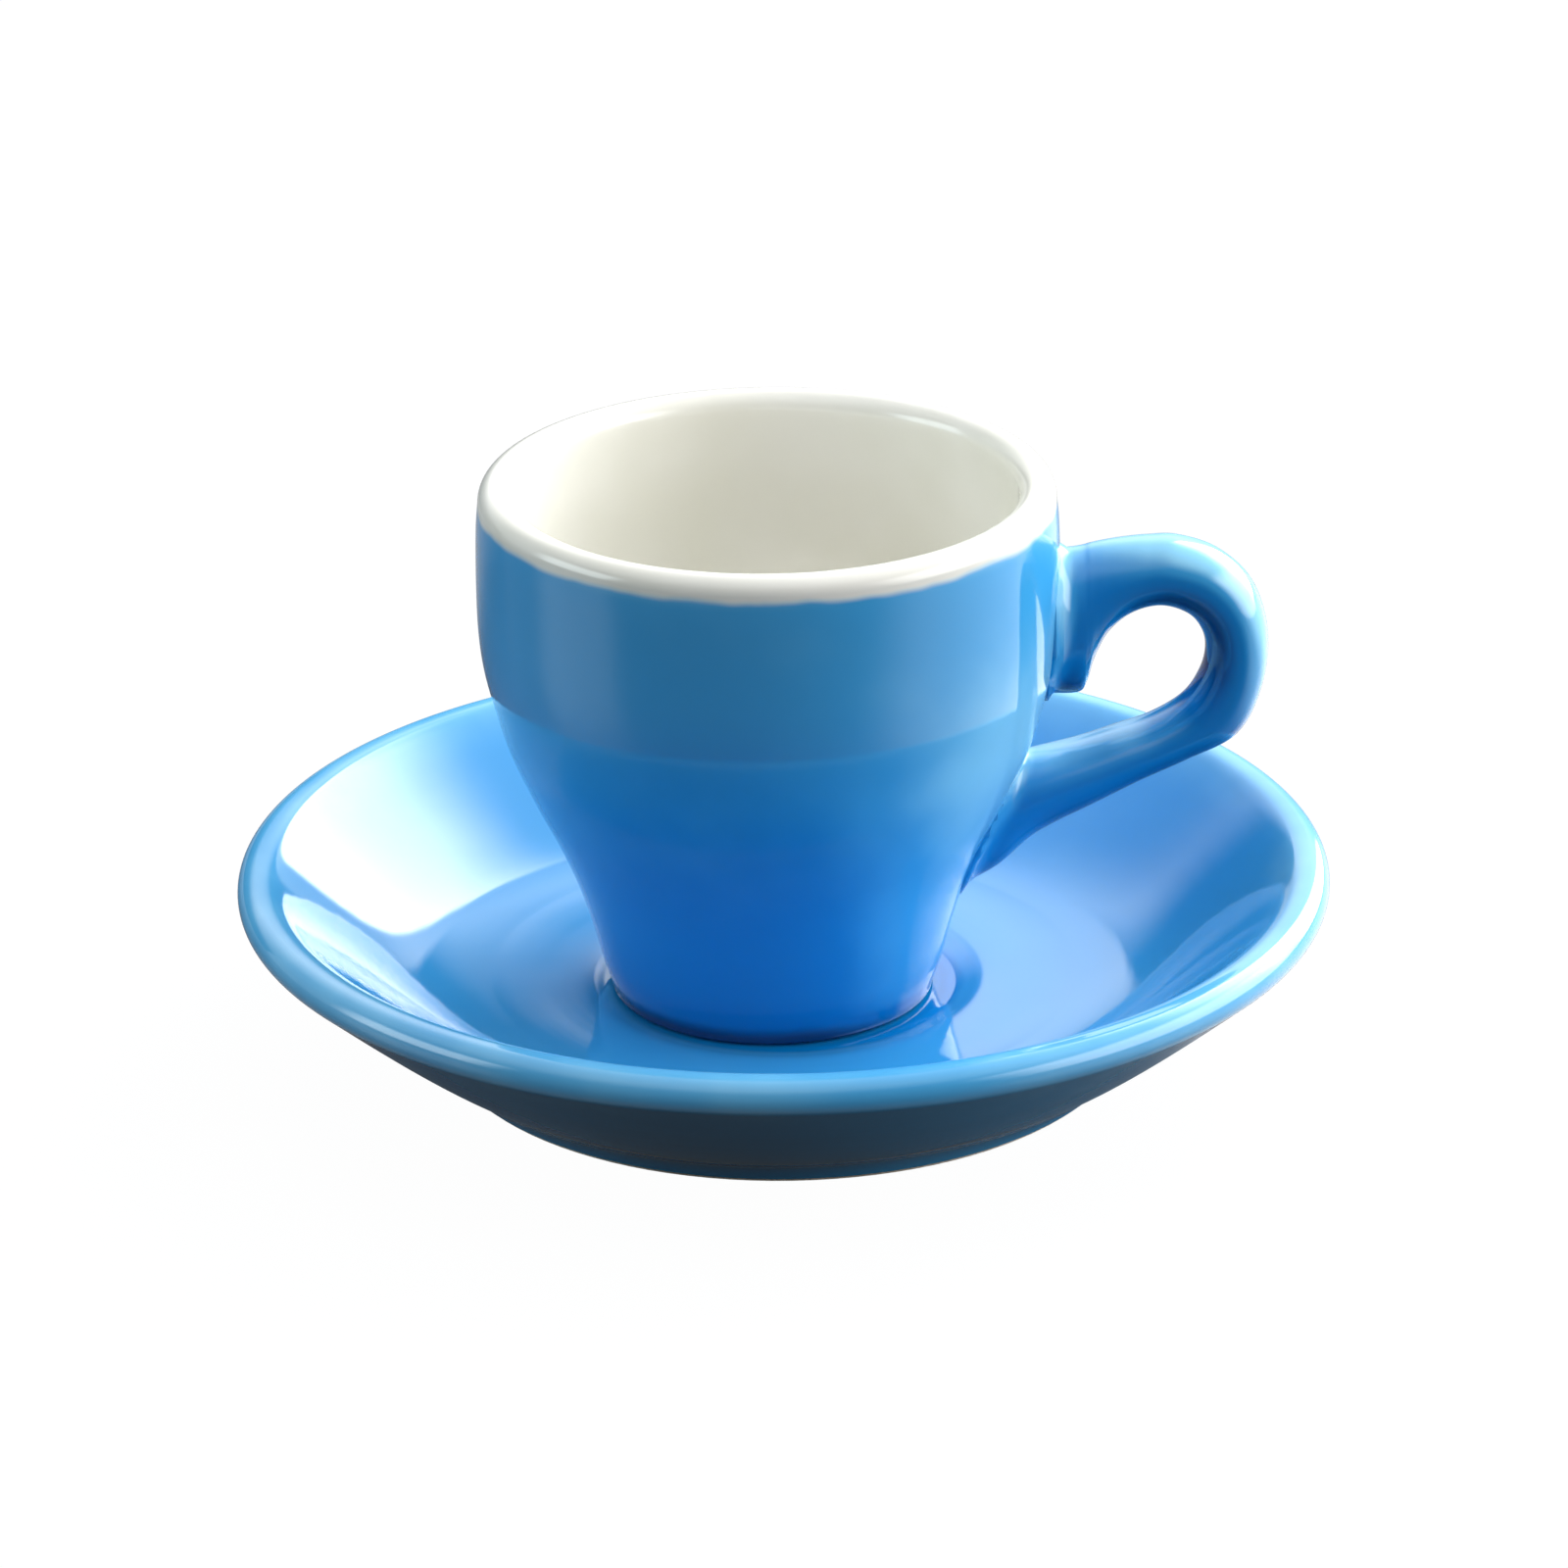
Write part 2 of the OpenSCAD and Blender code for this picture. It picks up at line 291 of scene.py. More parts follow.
def cup_inside():
    """From the middle of the floor up the inner wall and over the lip."""
    wall = beside(cup_side, -CUP_WALL)
    start = wall[INNER_FIRST]
    fall = start - wall[INNER_FIRST + 1]
    fall /= np.linalg.norm(fall)
    floor = bezier([
        [FLOOR_FLAT_SHARE * start[0], CUP_FLOOR_H], [FLOOR_PULL_SHARE * start[0], CUP_FLOOR_H],
        start + WALL_PULL_SHARE * (start[1] - CUP_FLOOR_H) * fall, start,
    ], CURVE_STEPS)
    middle = np.linspace([0, CUP_FLOOR_H], floor[0], SHORT_STEPS)
    upper = wall[INNER_FIRST:-1]
    lip = arc(cup_lip, cup_lip_r, 180, 0, CURVE_STEPS)
    return np.vstack([joined(middle, floor, upper), lip])


cup_line = joined(cup_inside(), cup_side[::-1])
white_last = len(cup_line) - len(cup_side) + 1


# Meshes

def make_object(name, points, faces, slot, body, replaced):
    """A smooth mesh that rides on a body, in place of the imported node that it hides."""
    mesh = bpy.data.meshes.new(name)
    mesh.from_pydata([tuple(p) for p in points], [], faces)
    mesh.shade_smooth()
    mesh.set_sharp_from_angle(angle=SHARP_ANGLE)
    mesh.update()
    piece = bpy.data.objects.new(name, mesh)
    bpy.context.scene.collection.objects.link(piece)
    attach(piece, body)
    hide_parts(replaced)
    return piece


def spun(outline, axis_x, base_z):
    """Points and faces of a closed outline turned round an upright axis. The outline may
    start or end on the axis; elsewhere its end joins its start."""
    turns = 2 * math.pi * np.arange(SPIN_STEPS) / SPIN_STEPS
    points, rings = [], []
    for radius, height in outline:
        if radius < ON_AXIS_R:
            rings.append([len(points)] * SPIN_STEPS)
            points.append((axis_x, 0, base_z + height))
            continue
        rings.append(range(len(points), len(points) + SPIN_STEPS))
        points += [(axis_x + radius * math.cos(t), radius * math.sin(t), base_z + height) for t in turns]
    faces = []
    closed = rings[0][0] != rings[0][1]
    for low, high in zip(rings, rings[1:] + rings[:1] * closed):
        for k in range(SPIN_STEPS):
            following = (k + 1) % SPIN_STEPS
            corners = [low[k], high[k], high[following], low[following]]
            face = [c for i, c in enumerate(corners) if c != corners[i - 1]]
            if len(face) > 2:
                faces.append(face)
    return points, faces


def rolled_edge(first, last):
    """The half round that closes a coat's free edge, from one face to the other."""
    centre = (first + last) / 2
    across = first - centre
    along = np.array([across[1], -across[0]])
    turn = np.radians(np.linspace(0, 180, SHORT_STEPS + 1))[1:-1, None]
    return centre + across * np.cos(turn) + along * np.sin(turn)


def coat(outline, round_start, round_end):
    """A coat of glaze on an outline, closed, with its free edges rounded."""
    inner = beside(outline, GLAZE_T)
    pieces = [outline]
    if round_end:
        pieces.append(rolled_edge(outline[-1], inner[-1]))
    pieces.append(inner[::-1])
    if round_start:
        pieces.append(rolled_edge(inner[0], outline[0]))
    return np.vstack(pieces)


def per_point(piece, what):
    """The x, y and z of all points of a piece, of their places ("co") or normals."""
    flat = np.zeros(3 * len(piece.data.vertices))
    piece.data.vertices.foreach_get(what, flat)
    return flat.reshape(-1, 3).T


def places_on(piece, axis_x):
    """Radius and height of a piece's points, measured from an upright axis."""
    x, y, z = per_point(piece, "co")
    return np.stack([np.hypot(x - axis_x, y), z], 1)


def mark(piece, name, values):
    """A number at each point of a piece, for its material to read."""
    layer = piece.data.attributes.new(name, "FLOAT", "POINT")
    layer.data.foreach_set("value", np.asarray(values, np.float32))


def coat_piece(name, coats, axis_x, base_z, slot, body, replaced):
    """One piece out of several coats of glaze on the same body."""
    points, faces = [], []
    for outline, round_start, round_end in coats:
        more_points, more_faces = spun(coat(outline, round_start, round_end), axis_x, base_z)
        faces += [[c + len(points) for c in f] for f in more_faces]
        points += more_points
    return make_object(name, points, faces, slot, body, replaced)


saucer_line = joined(saucer_top(), saucer_under())
saucer_foot_in_r = SAUCER_FOOT_R - SAUCER_FOOT_W
cup_foot_in_r = CUP_FOOT_R - 2 * BARE_H - CUP_FOOT_W

saucer_coat = coat_piece(
    "saucer_blue_glaze",
    [(saucer_line, False, True), (recess(saucer_foot_in_r, SAUCER_RECESS_H), True, False)],
    0, 0, "blue_glaze", "saucer", "saucer_glaze",
)
cup_coat = coat_piece(
    "cup_blue_glaze",
    [(cup_line[white_last:], False, True), (recess(cup_foot_in_r, CUP_RECESS_H), True, False)],
    CUP_X, WELL_H, "blue_glaze", "cup", "cup_outer_glaze",
)
cup_liner = coat_piece(
    "cup_white_glaze",
    [(cup_line[:white_last + 1], False, False)],
    CUP_X, WELL_H, "white_glaze", "cup", "cup_liner_glaze",
)


# Handle, lofted through sections from its upper root to its lower one

# Inside and outside of the loop, as [share of the reach beyond the barrel, share of the
# height from HANDLE_LOW to HANDLE_TOP]
SECTION_SHARES = [
    [[-0.13, 0.556], [-0.13, 0.955]],
    [[0.075, 0.553], [0.08, 0.972]],
    [[0.125, 0.585], [0.145, 0.981]],
    [[0.155, 0.65], [0.215, 0.989]],
    [[0.22, 0.732], [0.31, 0.996]],
    [[0.33, 0.79], [0.42, 1]],
    [[0.47, 0.812], [0.56, 0.998]],
    [[0.60, 0.787], [0.75, 0.958]],
    [[0.67, 0.735], [0.91, 0.868]],
    [[0.69, 0.672], [0.985, 0.73]],
    [[0.662, 0.60], [0.965, 0.575]],
    [[0.58, 0.527], [0.855, 0.435]],
    [[0.425, 0.468], [0.62, 0.36]],
    [[0.24, 0.43], [0.40, 0.299]],
    [[0.083, 0.40], [0.175, 0.23]],
    [[-0.10, 0.375], [-0.11, 0.14]],
    [[-0.24, 0.358], [-0.31, 0.035]],
    [[-0.36, 0.345], [-0.55, -0.04]],
]
WIDTH_SHARES = [1.12, 1.1, 1.08, 1.05, 1.02, 1, 1, 1, 1, 1, 1, 1, 1, 1.02, 1.05, 1.09, 1.13, 1.16]
SECTION_POWER = 0.94
FILLET_END_SHARE = 0.45


def handle_mesh():
    """Points and faces of the loop, with fillets that meet the cup's side."""
    scale = np.array([HANDLE_REACH, HANDLE_TOP - HANDLE_LOW])
    start = np.array([CUP_R, HANDLE_LOW])
    shares = np.array(SECTION_SHARES)
    inside = trace(start + shares[:, 0] * scale, TRACE_STEPS)
    outside = trace(start + shares[:, 1] * scale, TRACE_STEPS)
    widths = trace(np.array(WIDTH_SHARES)[:, None] * HANDLE_W / 2, TRACE_STEPS)
    turn = 2 * math.pi * np.arange(SECTION_POINTS) / SECTION_POINTS
    cos, sin = np.cos(turn), np.sin(turn)
    squared_cos = np.sign(cos) * np.abs(cos) ** SECTION_POWER
    squared_sin = np.sign(sin) * np.abs(sin) ** SECTION_POWER
    fillet = HANDLE_FILLET * (FILLET_END_SHARE + (1 - FILLET_END_SHARE) * sin ** 2)
    points = []
    for inner, outer, (width,) in zip(inside, outside, widths):
        half = (outer - inner) / 2
        reach = np.linalg.norm(half)
        plain = (outer + inner) / 2 + squared_cos[:, None] * half
        across = squared_sin * width
        out = np.stack([cos / reach, sin / width], 1)
        out /= np.linalg.norm(out, axis=1)[:, None]
        side = np.interp(plain[:, 1], cup_side[:, 1], cup_side[:, 0])
        inward = np.clip(fillet - (np.hypot(plain[:, 0], across) - side), 0, fillet)
        spread = fillet - np.sqrt(fillet ** 2 - inward ** 2)
        place = plain + (spread * out[:, 0])[:, None] * half / reach
        points += [
            (CUP_X + x, y, WELL_H + z)
            for (x, z), y in zip(place, across + spread * out[:, 1])
        ]
    n, rings = SECTION_POINTS, len(inside)
    faces = [
        [i * n + k, (i + 1) * n + k, (i + 1) * n + (k + 1) % n, i * n + (k + 1) % n]
        for i in range(rings - 1) for k in range(n)
    ]
    faces += [list(range(n)), [(rings - 1) * n + k for k in range(n)][::-1]]
    return points, faces


handle = make_object("cup_handle_glazed", *handle_mesh(), "blue_glaze", "cup", "cup_handle")


# Depth of the glaze: 0 where it ran thin, 0.5 in most places, 1 or more where it pooled.
# It also carries painted light and shade, most of all a painted shadow in the corner where
# the cup's foot stands in the well

USUAL_DEPTH = 0.5
LINER_DEPTH = 0.2
LIP_THINNER = 0.22
LIP_THINNER_REACH = 2.2 * SAUCER_LIP_T

# Pools of the blue glaze, and painted shade where the cup's foot stands in the well: on the
# saucer a painted shadow, on the cup partly pooled glaze and partly painted shade. Where they
# are, how far they reach and how much deeper they are
well_corner = np.array([WELL_R - step_w / 2, WELL_H])
foot_corner = np.array([CUP_FOOT_R, WELL_H])
SAUCER_POOLS_AND_SHADOW = [(well_corner, 3.5 * step_w, 0.08), (foot_corner, 2.5 * step_w, 0.8)]
CUP_POOL_AND_SHADE = [(foot_corner, 7 * BARE_H, 1)]

# The cup's glaze is deep at the foot. It gets thinner upwards and again at the white edge,
# and low down where it looks to the right it is paler by painted light: by how much, and
# between which shares of the height or, for the right, of facing it. The last line is where
# the right's painted light ends upwards
CUP_FOOT_DEPTH = 1.1
UP_THINNER = (0.6, 0.1, 0.8)
EDGE_THINNER = (0.5, 0.94, 0.99)
RIGHT_PAINTED_LIGHT = (0.6, 0.1, 0.8)
RIGHT_LIGHT_END_SHARES = (0.5, 0.9)

# On the handle the upper and outer faces are paler and those that look down deeper: partly
# glaze that ran off and pooled, partly painted light on the lit faces and painted shade below
HANDLE_DEPTH = 1.1
HANDLE_UP_THIN_AND_LIT = 1.3
HANDLE_OUT_THIN_AND_LIT = 1.1


def step(values, low, high):
    """A smooth rise from 0 at low to 1 at high."""
    t = np.clip((values - low) / (high - low), 0, 1)
    return t * t * (3 - 2 * t)


def near(places, spot, reach):
    """1 at a spot of the outline, falling to 0 at reach from it."""
    return 1 - step(np.linalg.norm(places - spot, axis=1), 0, reach)


def facing(piece):
    """How far the piece looks to the right and upwards at each of its points."""
    return per_point(piece, "normal")[[0, 2]]


def thinning_and_light(values, by, low, high):
    """How much paler the glaze gets as the values go from low to high, where it is thinner and, on the
    cup's right, where light is painted.
    """
    return by * step(values, low, high)


def pooled_and_shaded(depth_and_painted_light, places, spots):
    """The value raised around spots where the glaze pools and where shade is painted."""
    for spot, reach, rise in spots:
        depth_and_painted_light = depth_and_painted_light + rise * near(places, spot, reach)
    return depth_and_painted_light


saucer_places = places_on(saucer_coat, 0)
saucer_depth = USUAL_DEPTH - LIP_THINNER * near(saucer_places, lip_crest, LIP_THINNER_REACH)
# The saucer's floor gets a painted shadow where the cup's foot stands
mark(saucer_coat, "depth_and_painted_light", pooled_and_shaded(saucer_depth, saucer_places, SAUCER_POOLS_AND_SHADOW))

cup_places = places_on(cup_coat, CUP_X)
height_share = (cup_places[:, 1] - WELL_H) / CUP_H
cup_depth_and_painted_light = CUP_FOOT_DEPTH - thinning_and_light(height_share, *UP_THINNER) - thinning_and_light(height_share, *EDGE_THINNER)
low_down = 1 - step(height_share, *RIGHT_LIGHT_END_SHARES)
# Painted light: paler low down where the cup looks to the right
cup_depth_and_painted_light -= thinning_and_light(facing(cup_coat)[0], *RIGHT_PAINTED_LIGHT) * low_down
# At the foot, partly pooled glaze and partly painted shade
mark(cup_coat, "depth_and_painted_light", pooled_and_shaded(cup_depth_and_painted_light, cup_places, CUP_POOL_AND_SHADE))
edge_height = WELL_H + white_edge[1]
mark(cup_coat, "past_edge", (edge_height - cup_places[:, 1]) / MM)

# Inside the cup, every point counts as well above the white coat's edge
liner_places = places_on(cup_liner, CUP_X)
on_outside = liner_places[:, 0] > cup_lip[0]
beyond = np.where(on_outside, edge_height - liner_places[:, 1], -CUP_WALL)
mark(cup_liner, "past_edge", beyond / MM)
mark(cup_liner, "depth_and_painted_light", np.full(len(beyond), LINER_DEPTH))

facing_out, facing_up = facing(handle)
# Painted light and shade, partly glaze that ran: paler on the upper and outer faces, deeper on those
# that look down
handle_depth_and_painted_light = HANDLE_DEPTH - HANDLE_UP_THIN_AND_LIT * facing_up - HANDLE_OUT_THIN_AND_LIT * facing_out
mark(handle, "depth_and_painted_light", handle_depth_and_painted_light)


# Materials

def srgb(r, g, b):
    """A colour given as 0 to 255 in sRGB, as the linear numbers that a shader takes."""
    values = [c / 255 for c in (r, g, b)]
    return (*[v / 12.92 if v <= 0.04045 else ((v + 0.055) / 1.055) ** 2.4 for v in values], 1)


class Nodes:
    """A small helper that adds and links the nodes of one tree."""

    def __init__(self, tree):
        self.tree = tree
        tree.nodes.clear()

    def add(self, kind, inputs=None, **settings):
        node = self.tree.nodes.new(kind)
        for name, value in settings.items():
            setattr(node, name, value)
        for name, value in (inputs or {}).items():
            socket = node.inputs[name]
            if isinstance(value, bpy.types.NodeSocket):
                self.tree.links.new(value, socket)
            else:
                socket.default_value = value
        return node

    def math(self, operation, a, b=0.0, clamp=False):
        return self.add("ShaderNodeMath", {0: a, 1: b}, operation=operation, use_clamp=clamp).outputs[0]

    def noise(self, where, scale, detail=2.0, roughness=0.5):
        return self.add("ShaderNodeTexNoise", {
            "Vector": where, "Scale": scale, "Detail": detail, "Roughness": roughness,
        }).outputs["Fac"]

    def bump(self, height, strength, distance, under=None):
        inputs = {"Strength": strength, "Distance": distance, "Height": height}
        if under is not None:
            inputs["Normal"] = under
        return self.add("ShaderNodeBump", inputs).outputs[0]

    def ramp(self, value, low, high, to_low=0.0, to_high=1.0):
        return self.add("ShaderNodeMapRange", {
            "Value": value, "From Min": low, "From Max": high, "To Min": to_low, "To Max": to_high,
        }, interpolation_type="SMOOTHSTEP").outputs["Result"]

    def mix(self, share, a, b):
        node = self.add("ShaderNodeMix", data_type="RGBA")
        for socket, value in (("Factor_Float", share), ("A_Color", a), ("B_Color", b)):
            found = next(s for s in node.inputs if s.identifier == socket)
            if isinstance(value, bpy.types.NodeSocket):
                self.tree.links.new(value, found)
            else:
                found.default_value = value
        return next(s for s in node.outputs if s.identifier == "Result_Color")


def new_material(name):
    """A material without nodes, and the helper that adds them."""
    material = bpy.data.materials.new(name)
    material.use_nodes = True
    return material, Nodes(material.node_tree)


# Blue glaze: its colour where it is thinnest, and the colours that it takes on from one
# depth to another; painted light and painted shade run through the same depths
BLUE_THIN = srgb(128, 198, 234)
BLUE_DEEPER = [
    (0.0, 0.5, srgb(58, 155, 214)), (0.5, 1.0, srgb(0, 127, 198)), (1.1, 2.0, srgb(0, 58, 112)),
]
CLOUD_DEPTH = 0.09

WHITE = srgb(235, 234, 228)
WHITE_POOLED = srgb(226, 225, 215)
GLAZE_IOR = 1.62
GLAZE_ROUGHNESS = 0.065

# The run of the blue into the white, in millimetres: how wide and how wavy it is
EDGE_BLUR = 0.48
EDGE_WAVE = 0.5

CLAY = srgb(226, 218, 202)
CLAY_DARK = srgb(196, 184, 164)
CLAY_ROUGHNESS = 0.75

# Noises: scale in waves per metre, detail, and for the last one roughness
CLOUD_NOISE = (45.0, 3.0)
WHITE_NOISE = (40.0, 3.0)
EDGE_NOISE = (130.0, 2.0)
WAVE_NOISE = (55.0, 1.0)
PEEL_NOISE = (600.0, 2.0)
RING_NOISE = (520.0, 1.0)
GRAIN_NOISE = (2500.0, 4.0, 0.7)

# The stretches of those noises that colour the surface from end to end
CLOUD_SPAN = (0.25, 0.75)
WHITE_SPAN = (0.3, 0.7)
EDGE_SPAN = (0.2, 0.8)
GRAIN_SPAN = (0.35, 0.7)

# Bumps: their strength and the height that they stand for
WAVE_BUMP = (0.08, 1 * MM)
PEEL_BUMP = (0.015, 0.2 * MM)
RING_BUMP = (0.012, 1 * MM)
GRAIN_BUMP = (0.3, 0.1 * MM)


def glaze_bump(nodes, where, turned):
    """The slight unevenness of a fired glaze: broad waves and a fine orange peel, and on
    a turned piece faint rings around the axis at its origin."""
    waves = nodes.bump(nodes.noise(where, *WAVE_NOISE), *WAVE_BUMP)
    peel = nodes.bump(nodes.noise(where, *PEEL_NOISE), *PEEL_BUMP, waves)
    if not turned:
        return peel
    flat = nodes.add("ShaderNodeVectorMath", {0: where, 1: (1, 1, 0)}, operation="MULTIPLY")
    radius = nodes.add("ShaderNodeVectorMath", {0: flat.outputs[0]}, operation="LENGTH")
    scale, detail = RING_NOISE
    rings = nodes.add("ShaderNodeTexNoise", {
        "W": radius.outputs["Value"], "Scale": scale, "Detail": detail,
    }, noise_dimensions="1D")
    return nodes.bump(rings.outputs["Fac"], *RING_BUMP, peel)


def number(nodes, name):
    """A number that was marked on the piece."""
    return nodes.add("ShaderNodeAttribute", attribute_name=name).outputs["Fac"]


def blue_colour(nodes, where):
    """Blue that is paler where the glaze is thin and where light is painted, and deeper where it is
    pooled and where shade is painted.
    """
    cloud = nodes.ramp(nodes.noise(where, *CLOUD_NOISE), *CLOUD_SPAN, -CLOUD_DEPTH, CLOUD_DEPTH)
    depth_and_painted_light = nodes.math("ADD", number(nodes, "depth_and_painted_light"), cloud)
    colour = BLUE_THIN
    for start, end, deeper in BLUE_DEEPER:
        colour = nodes.mix(nodes.ramp(depth_and_painted_light, start, end), colour, deeper)
    return colour


def glaze(name, edged=False, turned=False):
    """A glossy glaze. An edged one runs from white to blue where past_edge, in
    millimetres, passes zero; the others are blue all over. A turned one has faint rings."""
    material, nodes = new_material(name)
    where = nodes.add("ShaderNodeTexCoord").outputs["Object"]
    colour = blue_colour(nodes, where)
    if edged:
        pool = nodes.ramp(nodes.noise(where, *WHITE_NOISE), *WHITE_SPAN)
        white = nodes.mix(pool, WHITE, WHITE_POOLED)
        waves = nodes.noise(where, *EDGE_NOISE)
        wave = nodes.ramp(waves, *EDGE_SPAN, -EDGE_WAVE / 2, EDGE_WAVE / 2)
        past = nodes.math("ADD", number(nodes, "past_edge"), wave)
        colour = nodes.mix(nodes.ramp(past, -EDGE_BLUR, EDGE_BLUR), white, colour)
    shader = nodes.add("ShaderNodeBsdfPrincipled", {
        "Base Color": colour, "Roughness": GLAZE_ROUGHNESS, "IOR": GLAZE_IOR,
        "Normal": glaze_bump(nodes, where, turned),
    })
    nodes.add("ShaderNodeOutputMaterial", {"Surface": shader.outputs[0]})
    return material


def bare_porcelain():
    """Fired clay without glaze, matt and grainy."""
    material, nodes = new_material("bare_porcelain")
    where = nodes.add("ShaderNodeTexCoord").outputs["Object"]
    grain = nodes.noise(where, *GRAIN_NOISE)
    shader = nodes.add("ShaderNodeBsdfPrincipled", {
        "Base Color": nodes.mix(nodes.ramp(grain, *GRAIN_SPAN), CLAY, CLAY_DARK),
        "Roughness": CLAY_ROUGHNESS,
        "Normal": nodes.bump(grain, *GRAIN_BUMP),
    })
    nodes.add("ShaderNodeOutputMaterial", {"Surface": shader.outputs[0]})
    return material


def dress(piece, material):
    """The material instead of those that the piece has."""
    piece.data.materials.clear()
    piece.data.materials.append(material)


dress(saucer_coat, glaze("turned_glaze", turned=True))
dress(handle, glaze("blue_glaze"))
edged_glaze = glaze("edged_glaze", edged=True)
for piece in (cup_coat, cup_liner):
    dress(piece, edged_glaze)
clay = bare_porcelain()
for node in ("saucer_body", "cup_body"):
    dress(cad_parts[node], clay)


# Stage: floor, world, lamps and camera

FLOOR_HALF = 3.0
floor_mesh = bpy.data.meshes.new("floor")
floor_mesh.from_pydata(
    [(x * FLOOR_HALF, y * FLOOR_HALF, 0) for x, y in ((-1, -1), (1, -1), (1, 1), (-1, 1))],
    [], [[0, 1, 2, 3]],
)
floor = bpy.data.objects.new("floor", floor_mesh)
bpy.context.scene.collection.objects.link(floor)

FLOOR_GLOW = 0.98
FLOOR_GLOSS_SHARE = 0.04
FLOOR_SHADE = (0.02, 0.021, 0.022, 1)
FLOOR_POLISH = (0.22, 0.22, 0.22, 1)
FLOOR_ROUGHNESS = 0.3


def floor_material():
    """White to the camera, less the object's shadow. The glaze reflects it as a polished
    table, with a share of that white."""
    material, nodes = new_material("floor_white")
    path = nodes.add("ShaderNodeLightPath").outputs
    glossy = nodes.math("MULTIPLY", path["Is Glossy Ray"], FLOOR_GLOSS_SHARE)
    seen = nodes.math("ADD", path["Is Camera Ray"], path["Is Transmission Ray"])
    seen = nodes.math("ADD", seen, glossy, True)
    shade = nodes.add("ShaderNodeBsdfDiffuse", {"Color": FLOOR_SHADE})
    glow = nodes.add("ShaderNodeEmission", {"Strength": nodes.math("MULTIPLY", seen, FLOOR_GLOW)})
    both = nodes.add("ShaderNodeAddShader", {0: shade.outputs[0], 1: glow.outputs[0]})
    polish = nodes.add("ShaderNodeBsdfAnisotropic", {
        "Color": FLOOR_POLISH, "Roughness": FLOOR_ROUGHNESS,
    })
    polished = nodes.add("ShaderNodeAddShader", {0: both.outputs[0], 1: polish.outputs[0]})
    shown = nodes.add("ShaderNodeMixShader", {
        0: path["Is Glossy Ray"], 1: both.outputs[0], 2: polished.outputs[0],
    })
    nodes.add("ShaderNodeOutputMaterial", {"Surface": shown.outputs[0]})
    return material


floor_mesh.materials.append(floor_material())

# A dark board behind the object, on the left, that only glossy rays see

BOARD_LEFT, BOARD_RIGHT = -300 * MM, 10 * MM
BOARD_Y = 175 * MM
BOARD_LOW, BOARD_TOP = 25 * MM, 117 * MM
BOARD_FADE = 45 * MM
BOARD_SIDE_FADE = 7 * MM
BOARD_COLOUR = (0.02, 0.04, 0.06, 1)


def make_board():
    """The board, which fades out towards its top and its right side."""
    mesh = bpy.data.meshes.new("board")
    mesh.from_pydata([
        (BOARD_LEFT, BOARD_Y, BOARD_LOW), (BOARD_RIGHT, BOARD_Y, BOARD_LOW),
        (BOARD_RIGHT, BOARD_Y, BOARD_TOP), (BOARD_LEFT, BOARD_Y, BOARD_TOP),
    ], [], [[0, 1, 2, 3]])
    board = bpy.data.objects.new("board", mesh)
    bpy.context.scene.collection.objects.link(board)
    board.visible_camera = board.visible_diffuse = board.visible_shadow = False
    board.visible_transmission = False
    material, nodes = new_material("board_dark")
    place = nodes.add("ShaderNodeTexCoord").outputs["Object"]
    across, _, height = nodes.add("ShaderNodeSeparateXYZ", {0: place}).outputs
    below = nodes.ramp(height, BOARD_TOP, BOARD_TOP - BOARD_FADE)
    beside_edge = nodes.ramp(across, BOARD_RIGHT, BOARD_RIGHT - BOARD_SIDE_FADE)
    shade = nodes.add("ShaderNodeEmission", {"Color": BOARD_COLOUR, "Strength": 1.0})
    clear = nodes.add("ShaderNodeBsdfTransparent")
    shown = nodes.add("ShaderNodeMixShader", {
        0: nodes.math("MULTIPLY", below, beside_edge), 1: clear.outputs[0], 2: shade.outputs[0],
    })
    nodes.add("ShaderNodeOutputMaterial", {"Surface": shown.outputs[0]})
    mesh.materials.append(material)


make_board()

# The room around the object: y is towards the back, x towards the right

ROOM_HIGH = (1.05, 1.05, 1.03, 1)
ROOM_MIDDLE = (1.95, 1.97, 1.97, 1)
ROOM_LOW = (0.75, 0.78, 0.8, 1)
ROOM_LEFT = (0.5, 0.56, 0.62, 1)
ROOM_FRONT = (0.08, 0.09, 0.1, 1)

# Where these run into each other: by z, by x over y, by y and by z again. For x over y, y
# is at least LEAST_Y
LOW_TO_MIDDLE = (0.12, 0.38)
LEFT_TO_BACK = (-1.2, -0.1)
FRONT_TO_BACK = (-0.35, 0.3)
MIDDLE_TO_HIGH = (0.48, 0.9)
LEAST_Y = 0.05


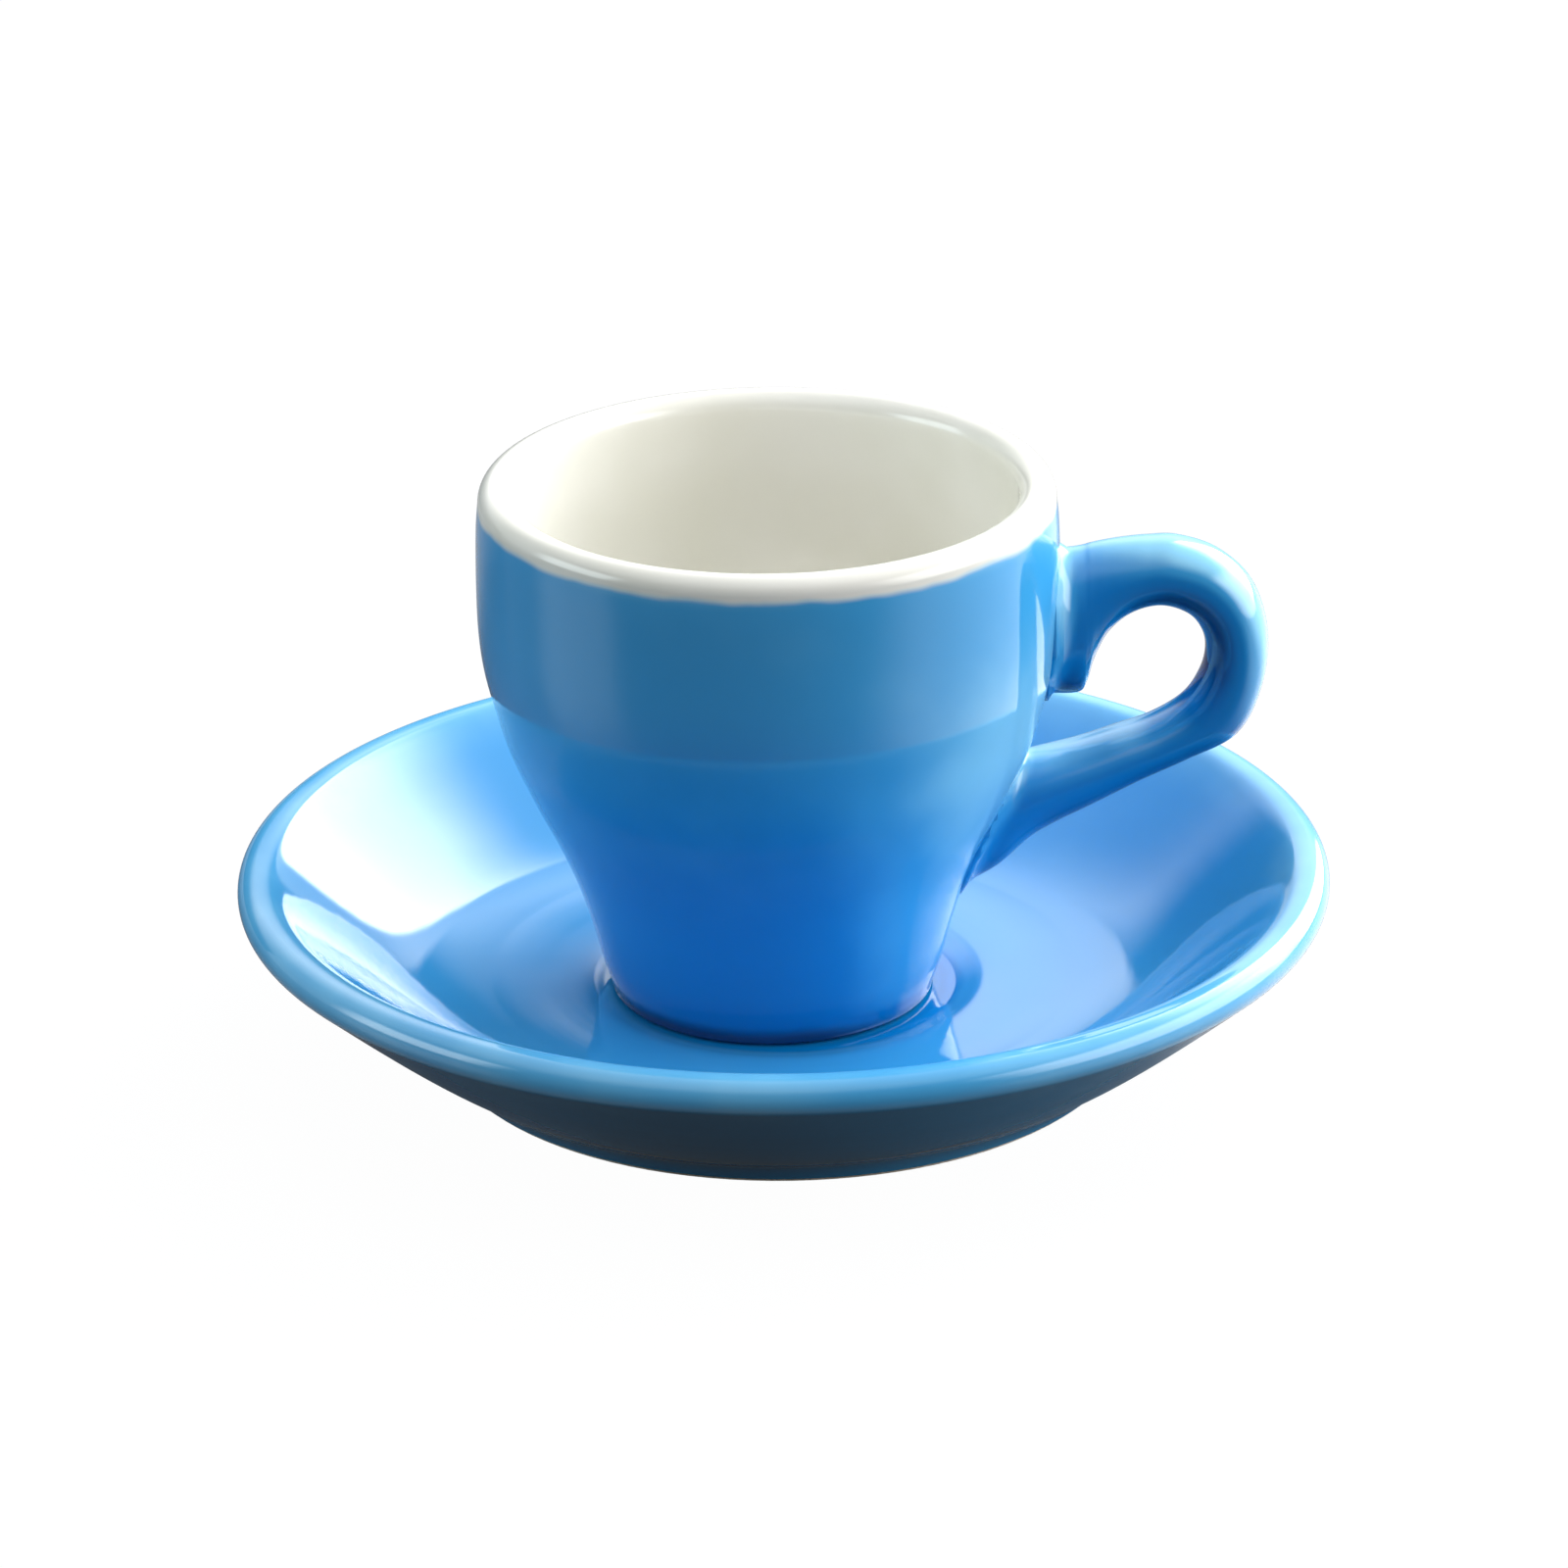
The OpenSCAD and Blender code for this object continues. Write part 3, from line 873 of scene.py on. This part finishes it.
def make_world():
    """White behind the object for the camera, and a room with pale walls for the object."""
    world = bpy.data.worlds.new("room")
    bpy.context.scene.world = world
    world.use_nodes = True
    nodes = Nodes(world.node_tree)
    path = nodes.add("ShaderNodeLightPath").outputs
    seen = nodes.math("ADD", path["Is Camera Ray"], path["Is Transmission Ray"], True)
    way = nodes.add("ShaderNodeTexCoord").outputs["Generated"]
    x, y, z = nodes.add("ShaderNodeSeparateXYZ", {0: way}).outputs
    wall = nodes.mix(nodes.ramp(z, *LOW_TO_MIDDLE), ROOM_LOW, ROOM_MIDDLE)
    across = nodes.math("DIVIDE", x, nodes.math("MAXIMUM", y, LEAST_Y))
    wall = nodes.mix(nodes.ramp(across, *LEFT_TO_BACK), ROOM_LEFT, wall)
    wall = nodes.mix(nodes.ramp(y, *FRONT_TO_BACK), ROOM_FRONT, wall)
    colour = nodes.mix(nodes.ramp(z, *MIDDLE_TO_HIGH), wall, ROOM_HIGH)
    room = nodes.add("ShaderNodeBackground", {"Color": colour, "Strength": 1.0})
    back = nodes.add("ShaderNodeBackground", {"Color": (1, 1, 1, 1), "Strength": 1.0})
    shown = nodes.add("ShaderNodeMixShader", {0: seen, 1: room.outputs[0], 2: back.outputs[0]})
    nodes.add("ShaderNodeOutputWorld", {"Surface": shown.outputs[0]})


make_world()

# Lamps, all at one distance from the object, in metres

LAMP_DISTANCE = 1.2


def faded_lamp(data, left, right, low, high):
    """Light that fades out towards each edge of a lamp, over a share of the lamp's side."""
    data.use_nodes = True
    nodes = Nodes(data.node_tree)
    place = nodes.add("ShaderNodeNewGeometry").outputs["Parametric"]
    u, v, _ = nodes.add("ShaderNodeSeparateXYZ", {0: place}).outputs
    strength = 1.0
    for side, start, end in ((u, right, left), (v, low, high)):
        strength = nodes.math("MULTIPLY", strength, nodes.ramp(side, 0, start))
        strength = nodes.math("MULTIPLY", strength, nodes.ramp(side, 1, 1 - end))
    light = nodes.add("ShaderNodeEmission", {"Strength": strength})
    nodes.add("ShaderNodeOutputLight", {"Surface": light.outputs[0]})


def pane(name, azimuth, elevation, spread, brightness, fades, colour=(1, 1, 1)):
    """A soft rectangular lamp that faces the object. Its place and its spread are angles
    in degrees as seen from there, from the back towards the right and upwards. Its light
    fades out over shares of its sides at the left, the right, the bottom and the top."""
    turn, rise = math.radians(azimuth), math.radians(elevation)
    way = Vector((math.sin(turn) * math.cos(rise), math.cos(turn) * math.cos(rise), math.sin(rise)))
    sides = [2 * LAMP_DISTANCE * math.tan(math.radians(a) / 2) for a in spread]
    data = bpy.data.lights.new(name, "AREA")
    data.shape = "RECTANGLE"
    data.size, data.size_y = sides
    data.energy = math.pi * brightness * sides[0] * sides[1]
    data.color = colour
    light = bpy.data.objects.new(name, data)
    light.location = LAMP_DISTANCE * way
    light.rotation_mode = "QUATERNION"
    light.rotation_quaternion = (-way).to_track_quat("-Z", "Y")
    light.visible_camera = False
    faded_lamp(data, *fades)
    bpy.context.scene.collection.objects.link(light)


pane(
    "window", azimuth=46, elevation=29, spread=(50, 52), brightness=7.0,
    fades=(0.05, 0.5, 0.02, 0.36),
)
pane(
    "side_window", azimuth=97, elevation=20, spread=(88, 50), brightness=4.6,
    fades=(0.16, 0.35, 0.2, 0.26),
)
pane(
    "left_fill", azimuth=-100, elevation=18, spread=(48, 36), brightness=4.0,
    fades=(0.3, 0.3, 0.3, 0.3), colour=(0.85, 0.97, 1),
)

# Camera, at the photograph's viewing angle

CAMERA_AIM = Vector((0, 0, 30 * MM))
CAMERA_DISTANCE = 751.62 * MM
CAMERA_ELEVATION = math.radians(22.62)
CAMERA_ROLL = math.radians(-0.66)
CAMERA_SENSOR = 36
CAMERA_LENS = 157.5
CAMERA_SHIFT = (0.00098, 0.00023)
CAMERA_CLIP = (0.05, 20)


def make_camera():
    """A camera in front of the object and above it, turned a little about its own axis."""
    data = bpy.data.cameras.new("camera")
    data.sensor_width = CAMERA_SENSOR
    data.lens = CAMERA_LENS
    data.shift_x, data.shift_y = CAMERA_SHIFT
    data.clip_start, data.clip_end = CAMERA_CLIP
    camera = bpy.data.objects.new("camera", data)
    back = Vector((0, -math.cos(CAMERA_ELEVATION), math.sin(CAMERA_ELEVATION)))
    upright = Matrix.Rotation(math.pi / 2 - CAMERA_ELEVATION, 4, "X")
    camera.matrix_world = (
        Matrix.Translation(CAMERA_AIM + CAMERA_DISTANCE * back)
        @ upright @ Matrix.Rotation(CAMERA_ROLL, 4, "Z")
    )
    bpy.context.scene.collection.objects.link(camera)
    bpy.context.scene.camera = camera


make_camera()
bpy.context.scene.view_settings.view_transform = "Standard"
